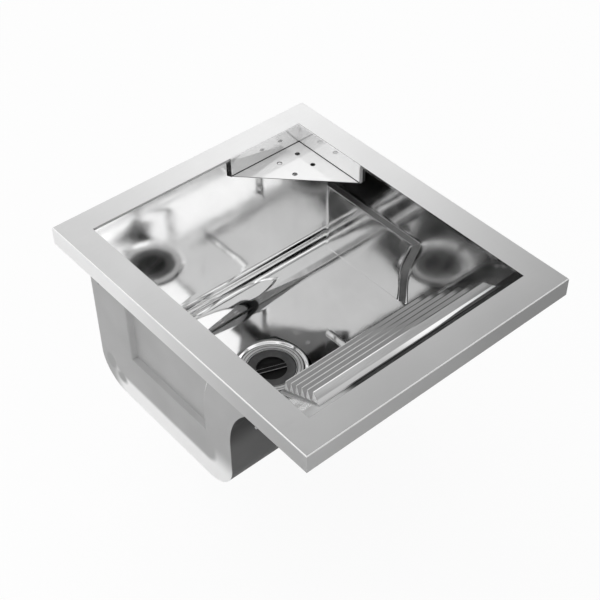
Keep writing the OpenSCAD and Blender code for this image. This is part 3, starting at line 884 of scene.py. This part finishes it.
# Darker metals on the emboss's inner bevels: painted shade on the upper, painted grey reflection on the
# front
BEVEL_SHADED = plain_metal("emboss_top", base=0.13, rough=0.35)
BEVEL_GREY_REFLECTION = plain_metal("emboss_front", base=0.3, rough=0.35)
RIM = rim_steel("satin_rim")
# Near white on the rim's rounded edges: painted highlight
RIM_EDGE_HIGHLIGHT = pale_metal("rim_edge_painted_highlight", 0.95, 1.0)
RIDGE = ridge_steel("ground_ridges")
# Near white left ends and dark right ends of the ridges: painted highlight and painted shade
RIDGE_LIT_ENDS = pale_metal("ridge_left_ends_painted_highlight", 0.95, 1.0)
RIDGE_SHADED_ENDS = plain_metal("ridge_right_ends_painted_shade", base=0.1, rough=0.25)
DISH = dish_steel("polished_dish")
# Dark front edge: painted shadow. Pale underside and right return: painted light. Dark left return: painted
# shade.
DISH_EDGE_SHADOWED = plain_metal("dish_edge_painted_shadow", base=0.25, rough=0.3)
DISH_UNDER_LIT = pale_metal("dish_underside_painted_light", 0.9, 1.0)
DISH_RETURN_LIT = pale_metal("dish_return", 0.85, 0.95)
DISH_RETURN_SHADED = plain_metal("dish_left_return_painted_shade", base=0.1, rough=0.3)
WASTE = waste_steel("polished_waste")
ZINC = plain_metal("zinc_steel", base=0.55, rough=0.38, tint=(0.98, 0.99, 1.0))
RUBBER = plastic("black_rubber", grey(0.012), grey(0.03), rough=0.6)
PLUG = plug_plastic("dark_plug")
PALE = plastic("pale_plastic", (0.55, 0.55, 0.53), (0.7, 0.7, 0.68), rough=0.4)
FIBRE = plastic("fibre", (0.22, 0.15, 0.09), (0.42, 0.32, 0.2), rough=0.8, grain=0.8, height=0.0001)
MAT_PAD = plastic("bitumen_mat", grey(0.015), grey(0.045), rough=0.75, grain=0.35, height=0.0004)

# Pieces

# Materials of the pieces that have several, picked face by face
FRONT_MATS = (INSIDE, OUTSIDE_FRONT, SHELF_STEEL)
SIDE_MATS = (INSIDE_SIDE, OUTSIDE, OUTSIDE_DENT_SHADED, BEVEL_SHADED, BEVEL_GREY_REFLECTION, OUTSIDE_HIGHLIGHT)
RIM_MATS = (RIM, RIM_EDGE_HIGHLIGHT, RIM_LIP)
RIDGE_MATS = (RIDGE, RIDGE_LIT_ENDS, RIDGE_SHADED_ENDS)
DISH_MATS = (DISH, DISH_EDGE_SHADOWED, DISH_UNDER_LIT, DISH_RETURN_LIT, DISH_RETURN_SHADED)
# Faces of the washboard smaller than this, in square metres, aren't the ends of ridges
RIDGE_END = 30e-6
# A point in the middle of the bowl, which the inner faces look at
CENTRE = (0, 80, -150)


def shelf_faces(p):
    """Inside of the front sheet above the knee is satin."""
    on_shelf = p.material_index == 0 and p.center.y < KNEE_Y * MM
    return FRONT_MATS.index(SHELF_STEEL) if on_shelf else p.material_index


def rim_faces(p):
    """Side lips, and rounded edges of the rim with a painted highlight."""
    n, c = p.normal, p.center
    if abs(n.z) < 0.1 and abs(c.x) < LIP_HALF * MM and abs(c.y - LIP_MIDDLE * MM) < LIP_HALF * MM:
        return RIM_MATS.index(RIM_LIP)
    rounded = 0.2 < n.z < 0.96 and max(abs(n.x), abs(n.y)) > 0.2
    return RIM_MATS.index(RIM_EDGE_HIGHLIGHT if rounded else RIM)


def ridge_faces(p):
    """Left ends of the ridges with a painted highlight, right ends with painted shade."""
    if p.area < RIDGE_END or abs(p.normal.x) <= 0.75:
        return RIDGE_MATS.index(RIDGE)
    return RIDGE_MATS.index(RIDGE_LIT_ENDS if p.normal.x < 0 else RIDGE_SHADED_ENDS)


def dish_faces(p):
    """Pale underside and right return, dark left return and front edge of the dish: painted light and
    shade.
    """
    n, c = p.normal, p.center / MM
    if n.z < -0.7:
        return DISH_MATS.index(DISH_UNDER_LIT)
    if n.y < -0.9 and c.x > DISH_X - 2:
        return DISH_MATS.index(DISH_RETURN_LIT)
    if abs(n.x) > 0.5 and c.x < DISH_LEFT:
        return DISH_MATS.index(DISH_RETURN_SHADED)
    front = n.x < -0.5 and n.y < -0.5
    return DISH_MATS.index(DISH_EDGE_SHADOWED if front else DISH)


sheet_piece("bowl_wrap", wrap_sheet(), (INSIDE, OUTSIDE), CENTRE)
sheet_piece("bowl_front_panel", front_sheet(), FRONT_MATS, CENTRE, shelf_faces)
sheet_piece("side_panel_left", side_sheet(), SIDE_MATS, CENTRE, emboss_faces)
sheet_piece("side_panel_right", mirrored(side_sheet()), SIDE_MATS, CENTRE, emboss_faces)
dressed("rim_deck", RIM_MATS, width=0.35, segments=2, pick=rim_faces)
dressed("washboard", RIDGE_MATS, width=0.5, segments=2, pick=ridge_faces)
dressed("soap_dish", DISH_MATS, width=0.3, segments=2, pick=dish_faces)
for node in ("waste_body", "outlet_spigot", "basket", "basket_post", "tailpiece"):
    dressed(node, (WASTE,), width=0.35, segments=2)
for node in ("post_screw", "deck_stiffeners", "fixing_brackets", "bracket_screws"):
    dressed(node, (ZINC,), width=0.3, segments=2)
for node in ("waste_gasket_top", "waste_gasket_bottom", "basket_seal"):
    dressed(node, (RUBBER,), width=0.25, segments=2)
dressed("friction_washer", (FIBRE,), width=0.2, segments=2)
for node in ("lock_nut", "tailpiece_washer", "coupling_nut"):
    dressed(node, (PALE,), width=0.5, segments=2)
dressed("plug_cap", (PLUG,), width=0.6, segments=3)
dressed("sound_pad", (MAT_PAD,), width=0.8, segments=2)

# Light and ground


def area(name, loc, target, size, size_y, power):
    """Soft lamp at a place, aimed at a target."""
    d = bpy.data.lights.new(name, "AREA")
    d.shape = "RECTANGLE"
    d.size = size
    d.size_y = size_y
    d.energy = power
    o = bpy.data.objects.new(name, d)
    o.location = loc
    o.rotation_euler = (Vector(target) - Vector(loc)).to_track_quat("-Z", "Y").to_euler()
    scene.collection.objects.link(o)


area("key_left", loc=(-2.2, 0.3, 1.3), target=(0, 0, -0.1), size=1.8, size_y=1.6, power=5)
area("top_back", loc=(0.3, 1.2, 2.4), target=(0, 0, 0), size=2.0, size_y=1.2, power=6)

def background(tree):
    """White light from all round, whose strength is set by its second input."""
    n = tree.nodes.new("ShaderNodeBackground")
    n.inputs[0].default_value = (1, 1, 1, 1)
    return n


def studio_level(dx, dy, dz):
    """Soft boxes and dark flags of a plain studio, by direction: left side, back, front, below."""
    level = dx.ramp(-0.44, -0.52, 0.62, 0.56)
    level = level.mix(1.15, dx.ramp(-0.56, -0.68))
    level = level.mix(0.25, dx.ramp(-0.45, -0.49) * dx.ramp(-0.62, -0.55) * dy.ramp(-0.34, -0.2))
    level = level.mix(1.0, dx.ramp(-0.47, -0.44) * dy.ramp(-0.27, -0.2))
    level = level.mix(0.46, dy.ramp(-0.04, 0.03)).mix(1.08, dy.ramp(0.2, 0.5))
    level = level.mix(1.0, dx.ramp(0.1, 0.3) * dy.ramp(0.05, -0.1))
    # Dark corner at the right of the front
    level = level.mix(0.27, dx.ramp(0.44, 0.49) * dy.ramp(0.05, -0.1))
    level = level.mix(0.0, dx.ramp(0.47, 0.51) * dy.ramp(-0.22, -0.3))
    return level.mix(0.5, dz.ramp(0.05, -0.1))


def studio():
    """World: the studio for reflections and light, plain white for the camera."""
    world = bpy.data.worlds.new("studio")
    scene.world = world
    world.use_nodes = True
    tree = world.node_tree
    tree.nodes.clear()
    ray = tree.nodes.new("ShaderNodeLightPath")
    place = tree.nodes.new("ShaderNodeTexCoord")
    split = tree.nodes.new("ShaderNodeSeparateXYZ")
    tree.links.new(place.outputs["Generated"], split.inputs[0])
    level = studio_level(*(Num(tree, o) for o in split.outputs))
    lit = background(tree)
    tree.links.new(level.s, lit.inputs[1])
    blend = tree.nodes.new("ShaderNodeMixShader")
    tree.links.new(ray.outputs["Is Camera Ray"], blend.inputs[0])
    tree.links.new(lit.outputs[0], blend.inputs[1])
    tree.links.new(background(tree).outputs[0], blend.inputs[2])
    out = tree.nodes.new("ShaderNodeOutputWorld")
    tree.links.new(blend.outputs[0], out.inputs[0])


studio()

# Floor just under the tailpiece, in millimetres; the camera sees it nearly white
GROUND_Z = -434
GROUND_HALF = 6000
GROUND_GREY = 0.92
SEEN_SHARE = 0.93


def pale_floor():
    """Matt floor that shadows fall on, mostly its own light to the camera."""
    sides = ((-1, -1), (1, -1), (1, 1), (-1, 1))
    corners = [(sx * GROUND_HALF, sy * GROUND_HALF, GROUND_Z) for sx, sy in sides]
    ground = put("floor", corners, [(0, 1, 2, 3)])
    m = bpy.data.materials.new("pale_floor")
    m.use_nodes = True
    tree = m.node_tree
    matt = tree.nodes["Principled BSDF"]
    matt.inputs["Base Color"].default_value = (*grey(GROUND_GREY), 1)
    matt.inputs["Roughness"].default_value = 0.9
    glow = tree.nodes.new("ShaderNodeEmission")
    glow.inputs[0].default_value = (1, 1, 1, 1)
    ray = tree.nodes.new("ShaderNodeLightPath")
    share = Num(tree, ray.outputs["Is Camera Ray"]) * SEEN_SHARE
    blend = tree.nodes.new("ShaderNodeMixShader")
    tree.links.new(share.s, blend.inputs[0])
    tree.links.new(matt.outputs[0], blend.inputs[1])
    tree.links.new(glow.outputs[0], blend.inputs[2])
    tree.links.new(blend.outputs[0], tree.nodes["Material Output"].inputs[0])
    ground.data.materials.append(m)
    return ground


ground = pale_floor()

scene.view_settings.view_transform = "Standard"

bpy.context.view_layer.update()
